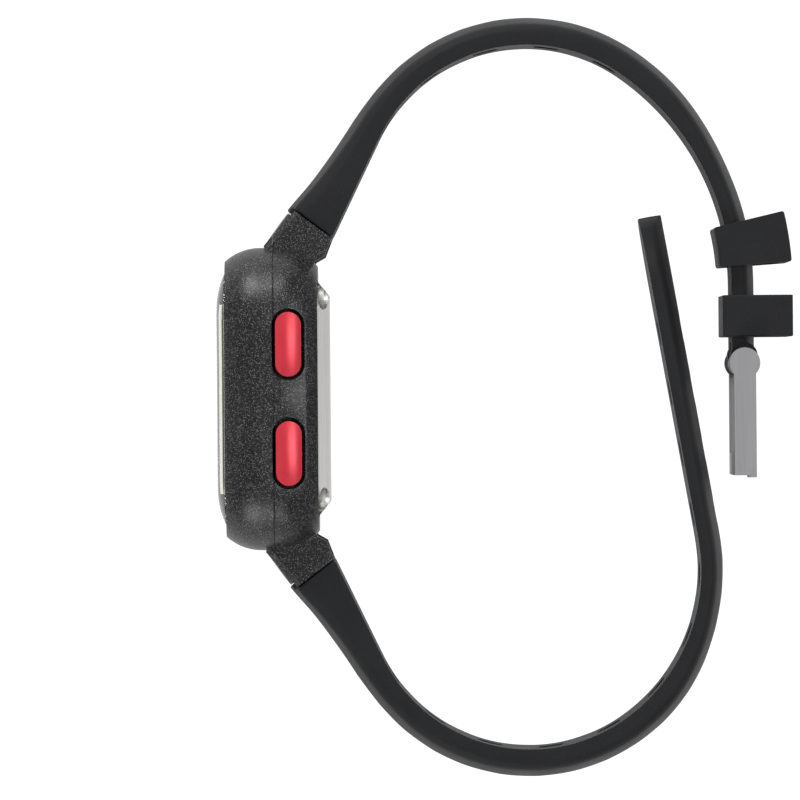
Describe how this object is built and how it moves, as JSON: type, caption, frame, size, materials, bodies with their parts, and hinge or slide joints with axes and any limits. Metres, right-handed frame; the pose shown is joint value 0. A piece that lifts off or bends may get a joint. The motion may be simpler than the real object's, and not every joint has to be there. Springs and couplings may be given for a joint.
{
  "type": "digital wristwatch",
  "caption": "Rectangular digital sports watch with side push buttons, a steel back and a curved, slotted rubber strap with a pin buckle and keepers.",
  "frame": {"origin": "middle of the part's box, on the surface that the case lies on with its 9 o'clock side down", "axes": "+Z from 9 to 3 o'clock, +Y from 6 to 12 o'clock, +X from the dial towards the wrist"},
  "size_m": [0.0636, 0.0842, 0.033],
  "materials": {
    "case_plastic": "glass-filled plastic with fine light flecks",
    "clear_crystal": "clear, polished",
    "mask_print": "printed black",
    "soft_seal": "smooth",
    "satin_plate": "satin silver",
    "satin_steel": "satin, fine brushing",
    "bright_steel": "turned",
    "display_glass": "display glass",
    "light_sheet": "translucent white",
    "silicone_strip": "striped silicone",
    "white_plastic": "moulded",
    "board": "lacquered board",
    "chip_resin": "black resin",
    "grey_plastic": "moulded",
    "foam": "closed-cell foam",
    "brass": "rolled sheet",
    "red_caps": "satin red",
    "strap_rubber": "matte moulded rubber",
    "buckle_steel": "satin"
  },
  "bodies": {
    "case": {"case_shell": "case_plastic", "crystal": "clear_crystal", "crystal_gasket": "soft_seal", "dial_mask": "mask_print", "lug_plate_upper": "satin_plate", "lug_plate_lower": "satin_plate", "case_back": "satin_steel", "back_gasket": "soft_seal", "back_screws": "bright_steel", "lcd_panel": "display_glass", "light_panel": "light_sheet", "connector_strips": "silicone_strip", "module_frame": "white_plastic", "circuit_board": "board", "chip_cover": "chip_resin", "quartz_can": "bright_steel", "module_screws": "bright_steel", "cell_holder": "grey_plastic", "coin_cell": "bright_steel", "cell_clip": "bright_steel", "cushion_pad": "foam", "buzzer_disc": "brass", "buzzer_spring": "brass", "switch_leaves": "brass", "seal_right_upper": "soft_seal", "seal_right_lower": "soft_seal", "seal_left_upper": "soft_seal", "seal_left_lower": "soft_seal", "spring_right_upper": "bright_steel", "spring_right_lower": "bright_steel", "spring_left_upper": "bright_steel", "spring_left_lower": "bright_steel", "bar_tube_upper": "bright_steel", "bar_tube_lower": "bright_steel", "bar_spring_upper_right": "bright_steel", "bar_spring_upper_left": "bright_steel", "bar_spring_lower_right": "bright_steel", "bar_spring_lower_left": "bright_steel"},
    "strap_upper": {"strap_upper": "strap_rubber", "keeper_fixed": "strap_rubber", "buckle_pin": "buckle_steel"},
    "strap_lower": {"strap_lower": "strap_rubber"},
    "keeper_sliding": {"keeper_sliding": "strap_rubber"},
    "buckle_frame": {"buckle_frame": "buckle_steel"},
    "buckle_prong": {"buckle_prong": "buckle_steel"},
    "button_right_upper": {"button_right_upper": "red_caps", "clip_right_upper": "bright_steel"},
    "bar_tip_upper_right": {"bar_tip_upper_right": "bright_steel"},
    "button_right_lower": {"button_right_lower": "red_caps", "clip_right_lower": "bright_steel"},
    "bar_tip_lower_right": {"bar_tip_lower_right": "bright_steel"},
    "button_left_upper": {"button_left_upper": "red_caps", "clip_left_upper": "bright_steel"},
    "bar_tip_upper_left": {"bar_tip_upper_left": "bright_steel"},
    "button_left_lower": {"button_left_lower": "red_caps", "clip_left_lower": "bright_steel"},
    "bar_tip_lower_left": {"bar_tip_lower_left": "bright_steel"}
  },
  "joints": [
    {"name": "strap_upper_hinge", "type": "hinge", "parent": "case", "child": "strap_upper", "pos_m": [-0.02205, 0.01795, 0.0165], "axis": [0, 0, 1], "range_deg": [-2, 2]},
    {"name": "strap_lower_hinge", "type": "hinge", "parent": "case", "child": "strap_lower", "pos_m": [-0.02205, -0.01795, 0.0165], "axis": [0, 0, 1], "range_deg": [-2, 2]},
    {"name": "keeper_travel", "type": "hinge", "parent": "strap_upper", "child": "keeper_sliding", "pos_m": [-0.00338, 0.01228, 0.0165], "axis": [0, 0, 1], "range_deg": [0, 20]},
    {"name": "buckle_hinge", "type": "hinge", "parent": "strap_upper", "child": "buckle_frame", "pos_m": [0.02642, 0.00358, 0.0165], "axis": [0, 0, 1], "range_deg": [0, 45]},
    {"name": "prong_hinge", "type": "hinge", "parent": "buckle_frame", "child": "buckle_prong", "pos_m": [0.02642, 0.00358, 0.0165], "axis": [0, 0, 1], "range_deg": [0, 50]},
    {"name": "press_right_upper", "type": "slide", "parent": "case", "child": "button_right_upper", "axis": [0, 0, -1], "range_m": [0, 0.0006], "stiffness_N_per_m": 2000, "springref_m": -0.0005, "deforming": ["spring_right_upper"]},
    {"name": "press_right_lower", "type": "slide", "parent": "case", "child": "button_right_lower", "axis": [0, 0, -1], "range_m": [0, 0.0006], "stiffness_N_per_m": 2000, "springref_m": -0.0005, "deforming": ["spring_right_lower"]},
    {"name": "press_left_upper", "type": "slide", "parent": "case", "child": "button_left_upper", "axis": [0, 0, 1], "range_m": [0, 0.0006], "stiffness_N_per_m": 2000, "springref_m": -0.0005, "deforming": ["spring_left_upper"]},
    {"name": "press_left_lower", "type": "slide", "parent": "case", "child": "button_left_lower", "axis": [0, 0, 1], "range_m": [0, 0.0006], "stiffness_N_per_m": 2000, "springref_m": -0.0005, "deforming": ["spring_left_lower"]},
    {"name": "bar_release_upper_right", "type": "slide", "parent": "case", "child": "bar_tip_upper_right", "axis": [0, 0, -1], "range_m": [0, 0.0011], "stiffness_N_per_m": 1000, "springref_m": -0.001, "deforming": ["bar_spring_upper_right"]},
    {"name": "bar_release_upper_left", "type": "slide", "parent": "case", "child": "bar_tip_upper_left", "axis": [0, 0, 1], "range_m": [0, 0.0011], "stiffness_N_per_m": 1000, "springref_m": -0.001, "deforming": ["bar_spring_upper_left"]},
    {"name": "bar_release_lower_right", "type": "slide", "parent": "case", "child": "bar_tip_lower_right", "axis": [0, 0, -1], "range_m": [0, 0.0011], "stiffness_N_per_m": 1000, "springref_m": -0.001, "deforming": ["bar_spring_lower_right"]},
    {"name": "bar_release_lower_left", "type": "slide", "parent": "case", "child": "bar_tip_lower_left", "axis": [0, 0, 1], "range_m": [0, 0.0011], "stiffness_N_per_m": 1000, "springref_m": -0.001, "deforming": ["bar_spring_lower_left"]}
  ]
}
